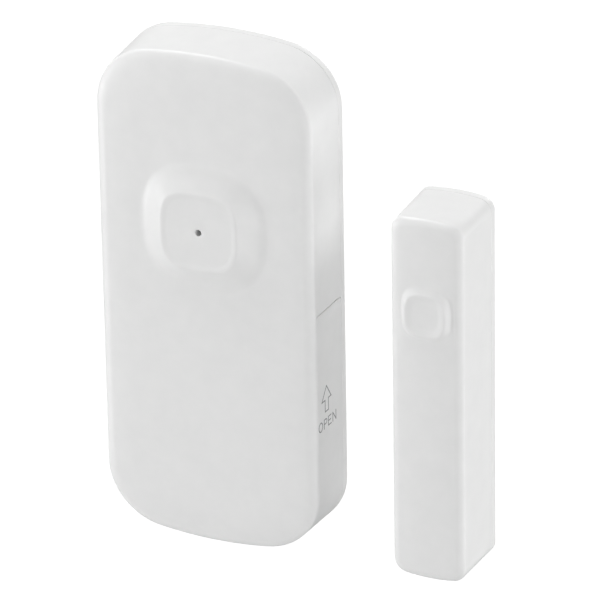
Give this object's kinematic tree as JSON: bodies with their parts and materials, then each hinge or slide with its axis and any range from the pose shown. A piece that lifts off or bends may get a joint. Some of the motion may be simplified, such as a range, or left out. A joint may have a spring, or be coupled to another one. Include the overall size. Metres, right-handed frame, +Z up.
{
  "type": "door contact sensor",
  "caption": "White wireless door contact: slim transmitter box with slide-off cover and raised button pad, and a narrow separate magnet unit on the same wall plane.",
  "frame": {"origin": "centre of the transmitter's back face, on the wall plane", "axes": "+Z up along the transmitter's height, +X to the right seen from the front, +Y into the wall, so the fronts face -Y"},
  "size_m": [0.0542, 0.0122, 0.073],
  "materials": {
    "white_abs": "fine satin moulded ABS, white",
    "foam_tape": "double-sided acrylic foam tape",
    "board_laminate": "glass-epoxy board with green solder mask",
    "zinc_screw": "zinc-plated self-tapping screws",
    "black_resin": "moulded black nylon",
    "cell_steel": "stainless steel coin cell can",
    "spring_contact": "nickel-plated spring strip",
    "reed_glass": "greenish infrared-sealing glass",
    "reed_metal": "nickel-iron reeds with tinned leads",
    "button_resin": "black switch actuator",
    "plunger_resin": "natural acetal plunger",
    "chip_resin": "black epoxy package",
    "can_metal": "plated crystal lid",
    "led_lens": "clear epoxy on a white frame",
    "tantalum_case": "orange epoxy case",
    "chip_ceramic": "fired ceramic body",
    "chip_resistor": "black glaze over alumina",
    "tinned_wire": "tinned wire",
    "magnet_nickel": "nickel-plated bar magnet"
  },
  "bodies": {
    "base": {"rear_base": "white_abs", "adhesive_pad": "foam_tape", "circuit_board": "board_laminate", "board_screws": "zinc_screw", "cell_holder": "black_resin", "coin_cell": "cell_steel", "negative_contact": "spring_contact", "positive_clip": "spring_contact", "reed_glass": "reed_glass", "reed_blades": "reed_metal", "button_switch": "black_resin", "tamper_switch": "black_resin", "controller_chip": "chip_resin", "radio_chip": "chip_resin", "crystal": "can_metal", "indicator_led": "led_lens", "tantalum_capacitor": "tantalum_case", "chip_capacitors": "chip_ceramic", "chip_resistors": "chip_resistor", "wire_antenna": "tinned_wire"},
    "cover": {"front_cover": "white_abs"},
    "learn_button": {"learn_button": "button_resin"},
    "tamper_plunger": {"tamper_plunger": "plunger_resin"},
    "magnet_unit": {"magnet_base": "white_abs", "magnet_adhesive_pad": "foam_tape", "bar_magnet": "magnet_nickel"},
    "magnet_cover": {"magnet_cover": "white_abs"}
  },
  "joints": [
    {"name": "cover_slide", "type": "slide", "parent": "base", "child": "cover", "axis": [0, 0, 1], "range_m": [0, 0.06]},
    {"name": "learn_button_press", "type": "slide", "parent": "base", "child": "learn_button", "axis": [0, 1, 0], "range_m": [0, 0.0003], "stiffness_N_per_m": 600, "springref_m": -0.0003},
    {"name": "tamper_press", "type": "slide", "parent": "base", "child": "tamper_plunger", "axis": [0, 1, 0], "range_m": [0, 0.0004], "stiffness_N_per_m": 200, "springref_m": -0.001},
    {"name": "magnet_apart", "type": "slide", "parent": "base", "child": "magnet_unit", "axis": [1, 0, 0], "range_m": [-0.009, 0.06]},
    {"name": "magnet_cover_off", "type": "slide", "parent": "magnet_unit", "child": "magnet_cover", "axis": [0, -1, 0], "range_m": [0, 0.03]}
  ]
}
